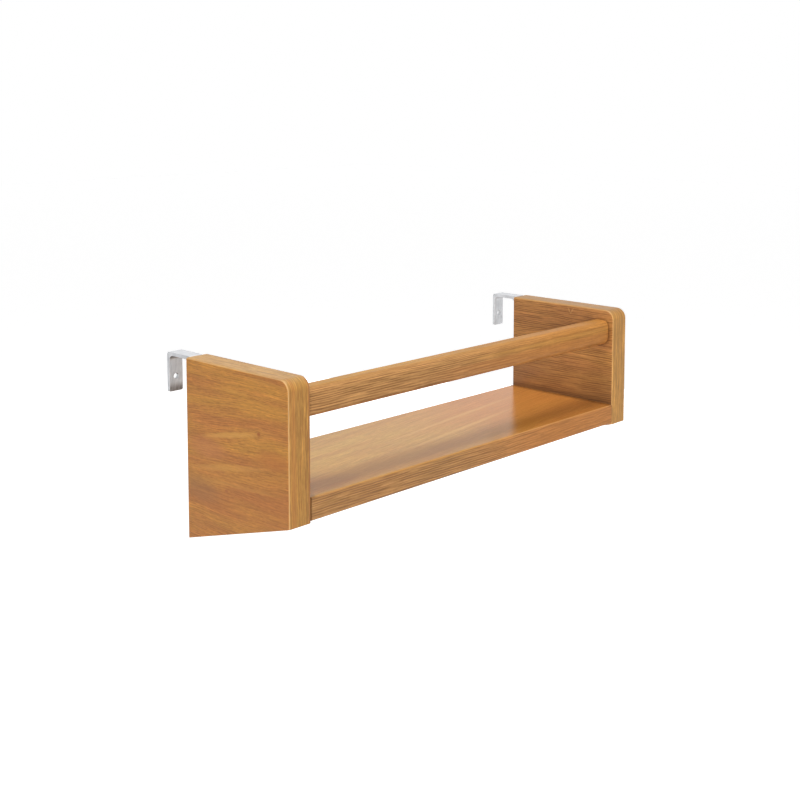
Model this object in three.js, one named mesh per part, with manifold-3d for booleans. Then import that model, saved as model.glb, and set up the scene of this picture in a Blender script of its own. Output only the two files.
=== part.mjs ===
import * as THREE from 'three';
import { mergeVertices } from 'three/addons/utils/BufferGeometryUtils.js';
import Module from 'manifold-3d';

const wasm = await Module();
wasm.setup();

// A hanging shelf with two side panels, a board, a front rail and two steel hooks, in millimetres.
// X runs along the shelf, Y from its front to the bed rail that it hangs on, and Z up.
// The origin is the middle of that bed rail's front top edge, which the hooks sit on.

// Side panels: sides that slant down to the back, with one round corner at the top of the front.
const shelfWidth = 500;
const panelThickness = 25;
const panelDepth = 140;
const panelFrontHeight = 127.5;
const panelBackHeight = 168.5;
const panelCornerRadius = 11;
const panelEdgeRound = 2;

// Shelf board, level between the panels and flush with their fronts and backs.
const boardThickness = 21;
const boardAbovePanelCorner = 1.5;
const boardEdgeRound = 1.5;

// Front rail, a bar with round edges that keeps things from falling forwards.
const railDepth = 21;
const railHeight = 27;
const railTopRound = 6.5;
const railBottomRound = 9;
const railSetBack = 6;
const railBelowPanelTop = 11.5;

// Hooks: flat strap with a leg on the panel's back, a top level with the panel's top and an outer leg.
const strapWidth = 15;
const strapThickness = 3.5;
const bedRailSlot = 29;
const outerLegLength = 38;
const fixedLegLength = 38;
const bendOutsideRadius = 3;
const bendInsideRadius = 5;
const legCornerRadius = 1.5;
const safetyHoleDiameter = 5.5;
const safetyHoleDrop = 24;

// Countersunk wood screws that hold each hook's fixed leg to its panel.
const hookScrewDiameter = 4;
const hookScrewHeadDiameter = 7.6;
const hookScrewRim = 0.4;
const hookScrewLength = 20;
const hookScrewTip = 4;
const hookScrewTipDiameter = 1;
const upperHookScrewDrop = 14;
const hookScrewSpacing = 14;
const crossRecessWidth = 1;
const crossRecessLength = 4;
const crossRecessDepth = 1.6;

// Cam fittings, two at each end of the board: a bolt in the panel and a cam in the board's underside.
const camDiameter = 15;
const camRoof = 1.2;
const camSetIn = 24;
const camFromBoardEdge = 32;
const camSlotWidth = 2;
const camSlotLength = 11;
const camSlotDepth = 2.5;
const camBoltDiameter = 6;
const camBoltScrewLength = 11;
const camBoltNeckDiameter = 3.6;
const camBoltHeadLength = 4;
const camBoltTaper = 1;

// Beech dowels: one at each end of the board and two at each end of the rail.
const boardDowelDiameter = 8;
const boardDowelLength = 30;
const railDowelDiameter = 6;
const railDowelLength = 28;
const railDowelSpacing = 12;
const dowelChamfer = 0.8;

// Fits: the gap round a piece in its hole, the room at the hole's end and the room round a bolt in a cam.
const holeClearance = 0.3;
const endClearance = 0.6;
const camClearance = 0.6;

// How far a cut runs past the face it starts from, the least wall left by a fillet, and how close
// two corners are when they count as one.
const overcut = 1;
const filletWall = 0.5;
const weldDistance = 1e-4;

// Steps in a full turn of each round shape, and in a quarter turn of an edge.
const roundSteps = 24;
const edgeSteps = 4;
const cornerSteps = 10;

// Places that follow from the sizes.
const panelTop = strapThickness;
const panelBack = -strapThickness;
const panelFront = panelBack - panelDepth;
const panelInnerX = shelfWidth / 2 - panelThickness;
const panelMiddleX = shelfWidth / 2 - panelThickness / 2;
const panelFrontBottom = panelTop - panelFrontHeight;
const panelBackBottom = panelTop - panelBackHeight;
const boardBottom = panelFrontBottom + boardAbovePanelCorner;
const boardMiddleZ = boardBottom + boardThickness / 2;
const boardMiddleY = panelBack - panelDepth / 2;
const railTop = panelTop - railBelowPanelTop;
const railMiddleZ = railTop - railHeight / 2;
const railFront = panelFront + railSetBack;
const railMiddleY = railFront + railDepth / 2;
const camX = panelInnerX - camSetIn;
const camHeadRoom = camBoltDiameter + 2 * camClearance;
const camHeight = boardThickness / 2 + camHeadRoom / 2 + camRoof;
const camRows = { front: panelFront + camFromBoardEdge, back: panelBack - camFromBoardEdge };
const railDowelRows = {
  upper: railMiddleZ + railDowelSpacing / 2,
  lower: railMiddleZ - railDowelSpacing / 2,
};
const hookScrewRows = {
  upper: panelTop - upperHookScrewDrop,
  lower: panelTop - upperHookScrewDrop - hookScrewSpacing,
};
const sides = { left: -1, right: 1 };

// Finishes.
const panelWood = { color: 0xba8752, roughness: 0.45, metalness: 0 };
const boardWood = { color: 0xb9814a, roughness: 0.35, metalness: 0 };
const railWood = { color: 0xbf8c55, roughness: 0.45, metalness: 0 };
const dowelWood = { color: 0xd9bd91, roughness: 0.7, metalness: 0 };
const galvanisedSteel = { color: 0xc4c4c4, roughness: 0.38, metalness: 1 };
const screwSteel = { color: 0xb9b7b0, roughness: 0.3, metalness: 1 };
const camZinc = { color: 0xa9a9a6, roughness: 0.45, metalness: 1 };

// Turns a closed three.js shape into a solid that can be cut and joined.
function toSolid(geometry) {
  const bare = geometry.index ? geometry.toNonIndexed() : geometry.clone();
  bare.deleteAttribute('normal');
  bare.deleteAttribute('uv');
  const merged = mergeVertices(bare, weldDistance);
  const vertProperties = new Float32Array(merged.attributes.position.array);
  const triVerts = new Uint32Array(merged.index.array);
  return new wasm.Manifold(new wasm.Mesh({ numProp: 3, vertProperties, triVerts }));
}

// Turns a solid back into a three.js shape with flat faces.
function toGeometry(solid) {
  const mesh = solid.getMesh();
  const geometry = new THREE.BufferGeometry();
  geometry.setAttribute('position', new THREE.BufferAttribute(mesh.vertProperties, 3));
  geometry.setIndex(new THREE.BufferAttribute(mesh.triVerts, 1));
  const flat = geometry.toNonIndexed();
  flat.computeVertexNormals();
  return flat;
}

// Makes a named piece from a solid, with its own material.
function piece(name, solid, finish) {
  const mesh = new THREE.Mesh(toGeometry(solid), new THREE.MeshStandardMaterial(finish));
  mesh.name = name;
  return mesh;
}

// Keeps a fillet smaller than half of each wall beside it.
function fillet(radius, ...walls) {
  return Math.min(radius, ...walls.map((wall) => wall / 2 - filletWall));
}

// Extrudes an outline drawn in Y and Z along X, centred on X = 0.
function alongX(outline, length, bevel = 0) {
  const geometry = new THREE.ExtrudeGeometry(outline, {
    depth: length - 2 * bevel,
    bevelEnabled: bevel > 0,
    bevelThickness: bevel,
    bevelSize: bevel,
    bevelOffset: -bevel,
    bevelSegments: edgeSteps,
    curveSegments: cornerSteps,
  });
  geometry.translate(0, 0, bevel - length / 2);
  const turn = new THREE.Matrix4().makeBasis(
    new THREE.Vector3(0, 1, 0),
    new THREE.Vector3(0, 0, 1),
    new THREE.Vector3(1, 0, 0),
  );
  return geometry.applyMatrix4(turn);
}

// Extrudes an outline drawn in X and Z from one Y to another.
function alongY(outline, fromY, toY) {
  const geometry = new THREE.ExtrudeGeometry(outline, {
    depth: toY - fromY,
    bevelEnabled: false,
    curveSegments: edgeSteps,
  });
  const turn = new THREE.Matrix4().makeBasis(
    new THREE.Vector3(1, 0, 0),
    new THREE.Vector3(0, 0, 1),
    new THREE.Vector3(0, -1, 0),
  );
  return geometry.applyMatrix4(turn).translate(0, toY, 0);
}

// Makes a round solid from a profile of [radius, distance along the axis] points.
function turned(profile) {
  return new THREE.LatheGeometry(profile.map(([r, s]) => new THREE.Vector2(r, s)), roundSteps);
}

// Makes a plain rod or hole along its own axis, from one distance to another.
function rod(diameter, from, to) {
  return turned([[0, from], [diameter / 2, from], [diameter / 2, to], [0, to]]);
}

// Makes the hole for a round piece of a given diameter that goes a given depth into a face.
function blindHole(diameter, depth) {
  return rod(diameter + 2 * holeClearance, -overcut, depth + endClearance);
}

// Points a turned shape, whose axis is Y, along +X or -X.
function aimX(geometry, direction) {
  return geometry.rotateZ(-direction * Math.PI / 2);
}

// Points a turned shape, whose axis is Y, up.
function aimUp(geometry) {
  return geometry.rotateX(Math.PI / 2);
}

// Draws a rectangle in Y and Z with its own radius at each corner, from the lower front one upwards.
function roundedOutline(y0, y1, z0, z1, [lowerFront, upperFront, upperBack, lowerBack]) {
  const shape = new THREE.Shape();
  const corner = (y, z, radius, quarterTurns) => {
    const start = quarterTurns * Math.PI / 2;
    if (radius > 0) shape.absarc(y, z, radius, start, start - Math.PI / 2, true);
  };
  shape.moveTo(y0, z0 + lowerFront);
  shape.lineTo(y0, z1 - upperFront);
  corner(y0 + upperFront, z1 - upperFront, upperFront, 2);
  shape.lineTo(y1 - upperBack, z1);
  corner(y1 - upperBack, z1 - upperBack, upperBack, 1);
  shape.lineTo(y1, z0 + lowerBack);
  corner(y1 - lowerBack, z0 + lowerBack, lowerBack, 0);
  shape.lineTo(y0 + lowerFront, z0);
  corner(y0 + lowerFront, z0 + lowerFront, lowerFront, -1);
  return shape;
}

// Draws a side panel's outline, with its back and bottom moved out by a margin.
function panelOutline(margin) {
  const radius = fillet(panelCornerRadius, panelDepth, panelFrontHeight);
  const slope = (panelBackBottom - panelFrontBottom) / panelDepth;
  const bottomAt = (y) => panelFrontBottom + slope * (y - panelFront) - margin;
  const shape = new THREE.Shape();
  shape.moveTo(panelFront, bottomAt(panelFront));
  shape.lineTo(panelFront, panelTop - radius);
  shape.absarc(panelFront + radius, panelTop - radius, radius, Math.PI, Math.PI / 2, true);
  shape.lineTo(panelBack + margin, panelTop);
  shape.lineTo(panelBack + margin, bottomAt(panelBack + margin));
  return shape;
}

// Lists the holes in a panel's inner face and back, for the side of the shelf that it is on.
function panelHoles(side) {
  const innerX = side * panelInnerX;
  const middleX = side * panelMiddleX;
  const holes = [];
  for (const y of Object.values(camRows)) {
    const bolt = blindHole(camBoltDiameter, camBoltScrewLength);
    holes.push(aimX(bolt, side).translate(innerX, y, boardMiddleZ));
  }
  const boardDowel = blindHole(boardDowelDiameter, boardDowelLength / 2);
  holes.push(aimX(boardDowel, side).translate(innerX, boardMiddleY, boardMiddleZ));
  for (const z of Object.values(railDowelRows)) {
    const railDowel = blindHole(railDowelDiameter, railDowelLength / 2);
    holes.push(aimX(railDowel, side).translate(innerX, railMiddleY, z));
  }
  for (const z of Object.values(hookScrewRows)) {
    const pilot = rod(hookScrewDiameter + 2 * holeClearance, -hookScrewLength - endClearance, 0);
    holes.push(pilot.translate(middleX, 0, z));
  }
  return holes;
}

// Makes a side panel: eased along its top and front, and square along its back and bottom.
function sidePanel(name, side) {
  const round = fillet(panelEdgeRound, panelThickness);
  const eased = toSolid(alongX(panelOutline(2 * round), panelThickness, round));
  const square = toSolid(alongX(panelOutline(0), panelThickness));
  let solid = eased.intersect(square).translate([side * panelMiddleX, 0, 0]);
  for (const hole of panelHoles(side)) solid = solid.subtract(toSolid(hole));
  return piece(name, solid, panelWood);
}

// Makes the shelf board, with its front edges eased and its dowel, bolt and cam holes.
function shelfBoard() {
  const round = fillet(boardEdgeRound, boardThickness);
  const outline = roundedOutline(
    panelFront, panelBack, boardBottom, boardBottom + boardThickness, [round, round, 0, 0],
  );
  let solid = toSolid(alongX(outline, 2 * panelInnerX));
  for (const side of Object.values(sides)) {
    const innerX = side * panelInnerX;
    const dowelHole = aimX(blindHole(boardDowelDiameter, boardDowelLength / 2), -side);
    solid = solid.subtract(toSolid(dowelHole.translate(innerX, boardMiddleY, boardMiddleZ)));
    for (const y of Object.values(camRows)) {
      const boltHole = aimX(blindHole(camBoltDiameter, camSetIn), -side);
      const pocket = aimUp(blindHole(camDiameter, camHeight));
      solid = solid.subtract(toSolid(boltHole.translate(innerX, y, boardMiddleZ)));
      solid = solid.subtract(toSolid(pocket.translate(side * camX, y, boardBottom)));
    }
  }
  return piece('shelf_board', solid, boardWood);
}

// Makes the front rail, with two dowel holes in each end.
function frontRail() {
  const top = fillet(railTopRound, railDepth, railHeight);
  const bottom = fillet(railBottomRound, railDepth, railHeight);
  const outline = roundedOutline(
    railFront, railFront + railDepth, railTop - railHeight, railTop, [bottom, top, top, bottom],
  );
  let solid = toSolid(alongX(outline, 2 * panelInnerX));
  for (const side of Object.values(sides)) {
    for (const z of Object.values(railDowelRows)) {
      const dowelHole = aimX(blindHole(railDowelDiameter, railDowelLength / 2), -side);
      solid = solid.subtract(toSolid(dowelHole.translate(side * panelInnerX, railMiddleY, z)));
    }
  }
  return piece('front_rail', solid, railWood);
}

// Draws the hook's side view in Y and Z: the strap bent down at both ends.
function hookOutline() {
  const outside = fillet(bendOutsideRadius, bedRailSlot, outerLegLength, fixedLegLength);
  const inside = fillet(bendInsideRadius, bedRailSlot, outerLegLength, fixedLegLength);
  const top = strapThickness;
  const front = -strapThickness;
  const back = bedRailSlot + strapThickness;
  const shape = new THREE.Shape();
  shape.moveTo(front, top - fixedLegLength);
  shape.lineTo(front, top - outside);
  shape.absarc(front + outside, top - outside, outside, Math.PI, Math.PI / 2, true);
  shape.lineTo(back - outside, top);
  shape.absarc(back - outside, top - outside, outside, Math.PI / 2, 0, true);
  shape.lineTo(back, top - outerLegLength);
  shape.lineTo(bedRailSlot, top - outerLegLength);
  shape.lineTo(bedRailSlot, -inside);
  shape.absarc(bedRailSlot - inside, -inside, inside, 0, Math.PI / 2, false);
  shape.lineTo(inside, 0);
  shape.absarc(inside, -inside, inside, Math.PI / 2, Math.PI, false);
  shape.lineTo(0, top - fixedLegLength);
  return shape;
}

// Draws one leg's front view in X and Z, with its two lower corners rounded.
function legOutline(length) {
  const radius = fillet(legCornerRadius, strapWidth, length);
  const half = strapWidth / 2;
  const end = strapThickness - length;
  const above = strapThickness + overcut;
  const shape = new THREE.Shape();
  shape.moveTo(half, above);
  shape.lineTo(-half, above);
  shape.lineTo(-half, end + radius);
  shape.absarc(-half + radius, end + radius, radius, Math.PI, 1.5 * Math.PI, false);
  shape.lineTo(half - radius, end);
  shape.absarc(half - radius, end + radius, radius, -Math.PI / 2, 0, false);
  return shape;
}

// Makes the countersunk hole that a hook screw passes through, from the fixed leg's back face.
function countersink() {
  const hole = hookScrewDiameter / 2 + holeClearance;
  const mouth = hookScrewHeadDiameter / 2 + holeClearance;
  const rim = hookScrewRim + holeClearance;
  return turned([
    [0, -strapThickness - overcut],
    [hole, -strapThickness - overcut],
    [hole, hole - mouth - rim],
    [mouth, -rim],
    [mouth, overcut],
    [0, overcut],
  ]);
}

// Makes a hook: the bent strap with rounded leg ends, two screw holes and the safety screw's hole.
function hook(name, side) {
  const middle = bedRailSlot / 2;
  const fixedLeg = toSolid(alongY(legOutline(fixedLegLength), -strapThickness - overcut, middle));
  const legOuterFace = bedRailSlot + strapThickness;
  const outerLeg = toSolid(alongY(legOutline(outerLegLength), middle, legOuterFace + overcut));
  let solid = toSolid(alongX(hookOutline(), strapWidth)).intersect(fixedLeg.add(outerLeg));
  for (const z of Object.values(hookScrewRows)) {
    solid = solid.subtract(toSolid(countersink().translate(0, 0, z)));
  }
  const safetyHole = rod(safetyHoleDiameter, bedRailSlot - overcut, legOuterFace + overcut);
  solid = solid.subtract(toSolid(safetyHole.translate(0, 0, panelTop - safetyHoleDrop)));
  const mesh = piece(name, solid, galvanisedSteel);
  mesh.position.set(side * panelMiddleX, 0, 0);
  return mesh;
}

// Makes a countersunk screw with a cross recess, its head level with Y = 0 and its tip towards -Y.
function hookScrew(name, side, z) {
  const shank = hookScrewDiameter / 2;
  const head = hookScrewHeadDiameter / 2;
  const tip = hookScrewTipDiameter / 2;
  const blank = toSolid(turned([
    [0, -hookScrewLength],
    [tip, -hookScrewLength],
    [shank, hookScrewTip - hookScrewLength],
    [shank, shank - head - hookScrewRim],
    [head, -hookScrewRim],
    [head, 0],
    [0, 0],
  ]));
  const depth = 2 * crossRecessDepth;
  const flatSlot = toSolid(new THREE.BoxGeometry(crossRecessLength, depth, crossRecessWidth));
  const uprightSlot = toSolid(new THREE.BoxGeometry(crossRecessWidth, depth, crossRecessLength));
  const mesh = piece(name, blank.subtract(flatSlot.add(uprightSlot)), screwSteel);
  mesh.position.set(side * panelMiddleX, 0, z);
  return mesh;
}

// Makes a cam bolt that screws into a panel, with a neck and a head for the cam to grip.
function camBolt(name, side, y) {
  const radius = camBoltDiameter / 2;
  const neck = camBoltNeckDiameter / 2;
  const headEnd = camSetIn + camBoltHeadLength / 2;
  const headStart = headEnd - camBoltHeadLength;
  const neckStart = camSetIn - camDiameter / 2 - endClearance;
  const geometry = turned([
    [0, -camBoltScrewLength],
    [radius - camBoltTaper, -camBoltScrewLength],
    [radius, camBoltTaper - camBoltScrewLength],
    [radius, neckStart - camBoltTaper],
    [neck, neckStart],
    [neck, headStart],
    [radius, headStart + camBoltTaper],
    [radius, headEnd - camBoltTaper],
    [radius - camBoltTaper, headEnd],
    [0, headEnd],
  ]);
  const mesh = piece(name, toSolid(geometry), screwSteel);
  mesh.rotation.set(0, 0, side * Math.PI / 2);
  mesh.position.set(side * panelInnerX, y, boardMiddleZ);
  return mesh;
}

// Makes a cam: a short drum with a pocket for the bolt's head, a slot for its neck and a driver's cross.
function cam(name, side, y) {
  const reach = camDiameter / 2 + overcut;
  const neckRoomHeight = camBoltNeckDiameter + 2 * camClearance;
  const axisHeight = boardThickness / 2;
  const headPocket = new THREE.BoxGeometry(camBoltHeadLength + 2 * camClearance, camHeadRoom, camHeadRoom);
  const headEntry = new THREE.BoxGeometry(camHeadRoom, reach, camHeadRoom);
  headEntry.translate(0, reach / 2, 0);
  const neckSlot = new THREE.BoxGeometry(reach, reach, neckRoomHeight);
  neckSlot.translate(side * reach / 2, (reach - neckRoomHeight) / 2, 0);
  let solid = toSolid(aimUp(rod(camDiameter, holeClearance, camHeight)));
  for (const room of [headPocket, headEntry, neckSlot]) {
    solid = solid.subtract(toSolid(room.translate(0, 0, axisHeight)));
  }
  const slotDepth = 2 * (camSlotDepth + holeClearance);
  solid = solid.subtract(toSolid(new THREE.BoxGeometry(camSlotLength, camSlotWidth, slotDepth)));
  solid = solid.subtract(toSolid(new THREE.BoxGeometry(camSlotWidth, camSlotLength, slotDepth)));
  const mesh = piece(name, solid, camZinc);
  mesh.position.set(side * camX, y, boardBottom);
  return mesh;
}

// Makes a dowel that crosses a joint, half in the panel and half in the board or rail.
function dowel(name, diameter, length, joint) {
  const radius = diameter / 2;
  const chamfer = fillet(dowelChamfer, diameter);
  const geometry = turned([
    [0, -length / 2],
    [radius - chamfer, -length / 2],
    [radius, chamfer - length / 2],
    [radius, length / 2 - chamfer],
    [radius - chamfer, length / 2],
    [0, length / 2],
  ]);
  const mesh = piece(name, toSolid(geometry), dowelWood);
  mesh.rotation.set(0, 0, Math.PI / 2);
  mesh.position.set(...joint);
  return mesh;
}

// Puts the shelf together.
const shelf = new THREE.Group();
shelf.name = 'bracket_wall_shelf';
shelf.add(shelfBoard());
shelf.add(frontRail());
for (const [word, side] of Object.entries(sides)) {
  const innerX = side * panelInnerX;
  shelf.add(sidePanel(`${word}_side_panel`, side));
  shelf.add(hook(`${word}_hook`, side));
  for (const [row, z] of Object.entries(hookScrewRows)) {
    shelf.add(hookScrew(`${word}_hook_${row}_screw`, side, z));
  }
  for (const [row, y] of Object.entries(camRows)) {
    shelf.add(camBolt(`${word}_${row}_cam_bolt`, side, y));
    shelf.add(cam(`${word}_${row}_cam`, side, y));
  }
  const boardJoint = [innerX, boardMiddleY, boardMiddleZ];
  shelf.add(dowel(`${word}_board_dowel`, boardDowelDiameter, boardDowelLength, boardJoint));
  for (const [row, z] of Object.entries(railDowelRows)) {
    const railJoint = [innerX, railMiddleY, z];
    shelf.add(dowel(`${word}_rail_${row}_dowel`, railDowelDiameter, railDowelLength, railJoint));
  }
}

export default shelf;
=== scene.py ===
"""Dresses the hanging shelf: two side panels, a board and a front rail in honey-brown wood, two bent
steel hooks, and the screws, cam fittings and dowels that hold them together."""

import logging
import math
from collections.abc import Callable, Iterable
from dataclasses import dataclass, replace
from enum import Enum
from functools import cache

import bmesh
import bpy
from mathutils import Matrix, Vector


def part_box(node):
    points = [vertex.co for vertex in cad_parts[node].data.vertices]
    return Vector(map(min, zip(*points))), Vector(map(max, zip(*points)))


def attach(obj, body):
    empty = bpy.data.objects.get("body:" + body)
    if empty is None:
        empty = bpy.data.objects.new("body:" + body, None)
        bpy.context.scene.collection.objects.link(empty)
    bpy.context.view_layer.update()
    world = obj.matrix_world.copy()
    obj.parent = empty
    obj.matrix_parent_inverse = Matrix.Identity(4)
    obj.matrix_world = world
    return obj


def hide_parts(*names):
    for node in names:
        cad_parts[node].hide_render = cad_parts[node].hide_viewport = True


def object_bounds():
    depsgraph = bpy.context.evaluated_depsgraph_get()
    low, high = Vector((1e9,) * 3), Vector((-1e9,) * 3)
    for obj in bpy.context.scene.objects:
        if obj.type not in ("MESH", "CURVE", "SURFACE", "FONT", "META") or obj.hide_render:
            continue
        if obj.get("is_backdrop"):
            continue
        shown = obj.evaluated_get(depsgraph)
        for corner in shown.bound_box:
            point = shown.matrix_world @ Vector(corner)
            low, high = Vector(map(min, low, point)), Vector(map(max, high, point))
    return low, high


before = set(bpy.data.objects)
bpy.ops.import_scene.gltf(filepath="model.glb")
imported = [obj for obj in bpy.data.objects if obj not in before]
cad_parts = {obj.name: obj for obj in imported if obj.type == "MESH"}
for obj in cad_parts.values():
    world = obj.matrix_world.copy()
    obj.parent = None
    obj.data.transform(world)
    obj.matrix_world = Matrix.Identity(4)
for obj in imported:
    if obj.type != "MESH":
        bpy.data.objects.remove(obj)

log = logging.getLogger("hanging_shelf")

MM = 0.001
PICTURE_WIDTH = 800

# Places closer together than this count as the same, and points closer than this are merged.
SAME_PLACE = 0.01 * MM
SAME_POINT = 0.001 * MM

# The steps along its axis that one turn of a screw thread is cut in.
THREAD_STEPS = 8

Shape = bmesh.types.BMesh
Corner = bmesh.types.BMVert
Edge = bmesh.types.BMEdge
Outline = list[tuple[float, float]]
Socket = bpy.types.NodeSocket
Colour = tuple[float, float, float, float]


class Side(Enum):
    """A side of the shelf as seen from its front, with the way that it points along X."""

    LEFT = -1
    RIGHT = 1

    @property
    def word(self) -> str:
        """The side's name as the frame's nodes spell it."""
        return self.name.lower()

    @property
    def inwards(self) -> Vector:
        """The direction from this side to the middle of the shelf."""
        return Vector((-self.value, 0, 0))


class Axis(Enum):
    """One of the frame's axes, with its place in a vector."""

    X = 0
    Y = 1
    Z = 2

    @property
    def vector(self) -> Vector:
        """The axis as a direction."""
        return Vector([1.0 if place == self.value else 0.0 for place in range(3)])


class GrainSource(Enum):
    """Where a wood finish reads the run of the grain and the places of its marks from."""

    SOLID = "object coordinates for both"
    ROUND_THE_SECTION = "the grain attribute, and object coordinates for the marks"
    ROUND_THE_PANEL = "the grain attribute for both"


def paint(red: int, green: int, blue: int) -> Colour:
    """Turns a screen colour into the linear values that a shader takes.

    Args:
        red: Red from 0 to 255.
        green: Green from 0 to 255.
        blue: Blue from 0 to 255.

    Returns:
        The linear colour with full opacity.
    """
    shares = [value / 255 for value in (red, green, blue)]
    linear = [s / 12.92 if s <= 0.04045 else ((s + 0.055) / 1.055) ** 2.4 for s in shares]
    return (*linear, 1.0)


def near(first: float, second: float) -> bool:
    """Says whether two lengths are the same to a hundredth of a millimetre."""
    return abs(first - second) < SAME_PLACE


def edges_where(shape: Shape, test: Callable[[Vector, Vector], bool]) -> list[Edge]:
    """Lists the edges whose two ends pass a test."""
    return [edge for edge in shape.edges if test(edge.verts[0].co, edge.verts[1].co)]


def sharp_edges(shape: Shape) -> list[Edge]:
    """Lists the edges that turn by more than 35 degrees."""
    limit = math.radians(35)
    return [edge for edge in shape.edges if edge.is_manifold and edge.calc_face_angle() > limit]


def round_edges(shape: Shape, edges: Iterable[Edge], radius: float, segments: int) -> None:
    """Rounds edges of a shape.

    Args:
        shape: The shape that is changed.
        edges: The edges to round.
        radius: The radius of the rounding.
        segments: The number of steps across it.
    """
    bmesh.ops.bevel(
        shape,
        geom=list(edges),
        offset=radius,
        offset_type="OFFSET",
        segments=segments,
        profile=0.5,
        affect="EDGES",
        material=-1,
        clamp_overlap=True,
    )


def add_block(shape: Shape, middle: Vector, size: Vector) -> None:
    """Adds a square-edged block to a shape."""
    bmesh.ops.create_cube(shape, size=1.0, matrix=Matrix.LocRotScale(middle, None, size))


def block(low: Vector, high: Vector) -> Shape:
    """Makes a square-edged block.

    Args:
        low: Its lowest corner.
        high: Its highest corner.

    Returns:
        The closed shape.
    """
    shape = bmesh.new()
    add_block(shape, (low + high) / 2, high - low)
    return shape


def start_solid(shape: Shape, outline: list[tuple[float, float, float]]) -> list[Corner]:
    """Adds a flat outline to a shape and starts a solid from it.

    Args:
        shape: The empty shape that it is added to.
        outline: The outline's corners, in order.

    Returns:
        The corners of the solid's other end, which still lie on the first ones.
    """
    face = shape.faces.new([shape.verts.new(corner) for corner in outline])
    grown = bmesh.ops.extrude_face_region(shape, geom=[face])["geom"]
    return [part for part in grown if isinstance(part, Corner)]


def extruded(outline: Outline, from_x: float, to_x: float) -> Shape:
    """Makes a solid from an outline in Y and Z that runs along X.

    Args:
        outline: The outline's corners as (y, z), in order.
        from_x: Where the solid starts.
        to_x: Where it ends.

    Returns:
        The closed shape.
    """
    shape = bmesh.new()
    end = start_solid(shape, [(from_x, y, z) for y, z in outline])
    bmesh.ops.translate(shape, vec=(to_x - from_x, 0, 0), verts=end)
    bmesh.ops.recalc_face_normals(shape, faces=shape.faces)
    return shape


def cross_recess(width: float, length: float, depth: float, taper: float = 0.55) -> Shape:
    """Makes the hollow of a cross-head, which opens upwards at Z = 0 and narrows towards its floor.

    Args:
        width: The width of its four arms.
        length: The length over two arms.
        depth: How deep it goes.
        taper: The floor's size as a share of the mouth's.

    Returns:
        The closed shape, which stands a little out of the mouth.
    """
    proud = 0.3
    half_width, reach = width / 2, length / 2
    arm = [(half_width, half_width), (half_width, reach), (-half_width, reach)]
    outline = []
    for _ in range(4):
        outline += arm
        arm = [(-y, x) for x, y in arm]
    shape = bmesh.new()
    floor = start_solid(shape, [(x, y, proud * depth) for x, y in outline])
    bmesh.ops.scale(shape, vec=(taper, taper, 1), verts=floor)
    bmesh.ops.translate(shape, vec=(0, 0, -(1 + proud) * depth), verts=floor)
    bmesh.ops.recalc_face_normals(shape, faces=shape.faces)
    return shape


def add_rod(shape: Shape, start: Vector, end: Vector, radius: float, sides: int = 48) -> None:
    """Adds a round rod to a shape.

    Args:
        shape: The shape that it is added to.
        start: The middle of its first end.
        end: The middle of its other end.
        radius: Its radius.
        sides: The number of sides round it.
    """
    along = end - start
    place = Matrix.LocRotScale((start + end) / 2, along.to_track_quat("Z", "Y"), None)
    bmesh.ops.create_cone(
        shape, cap_ends=True, segments=sides, radius1=radius, radius2=radius, depth=along.length, matrix=place
    )


def add_bore(tool: Shape, node: str, axis: Axis, diameter: float) -> None:
    """Adds the room that a round piece needs in the wood to a cutting tool.

    Args:
        tool: The shape that it is added to.
        node: The node of the round piece, which the room is laid round.
        axis: The axis of the round piece.
        diameter: The round piece's diameter there.
    """
    side_room, end_room = 0.3 * MM, 0.6 * MM
    low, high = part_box(node)
    middle = (low + high) / 2
    reach = axis.vector * ((high - low)[axis.value] / 2 + end_room)
    add_rod(tool, middle - reach, middle + reach, diameter / 2 + side_room)


def turned(profile: Outline, sides: int = 48) -> Shape:
    """Turns a profile round Z.

    Args:
        profile: Points as (radius, height), from the axis at one end to the axis at the other.
        sides: The number of steps in the turn.

    Returns:
        The closed shape.
    """
    shape = bmesh.new()
    points = [shape.verts.new((radius, 0, height)) for radius, height in profile]
    edges = [shape.edges.new(pair) for pair in zip(points, points[1:])]
    bmesh.ops.spin(
        shape,
        geom=points + edges,
        cent=(0, 0, 0),
        axis=(0, 0, 1),
        angle=2 * math.pi,
        steps=sides,
        use_merge=True,
    )
    bmesh.ops.remove_doubles(shape, verts=shape.verts, dist=SAME_POINT)
    bmesh.ops.recalc_face_normals(shape, faces=shape.faces)
    return shape


def stepped(profile: Outline, low: float, high: float, step: float) -> Outline:
    """Adds points to a profile between two heights, so that a thread or flutes can be cut there.

    Args:
        profile: Points as (radius, height), with the height rising.
        low: The height where the added points start.
        high: The height where they end.
        step: The height between them.

    Returns:
        The profile with the added points.
    """
    points = [profile[0]]
    for (from_radius, from_height), (to_radius, to_height) in zip(profile, profile[1:]):
        start, end = max(from_height, low), min(to_height, high)
        count = math.ceil((end - start) / step) if end - start > step else 0
        for index in range(count + 1 if count else 0):
            height = start + (end - start) * index / count
            share = (height - from_height) / (to_height - from_height)
            if 0 < share < 1:
                points.append((from_radius + (to_radius - from_radius) * share, height))
        points.append((to_radius, to_height))
    return points


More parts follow.
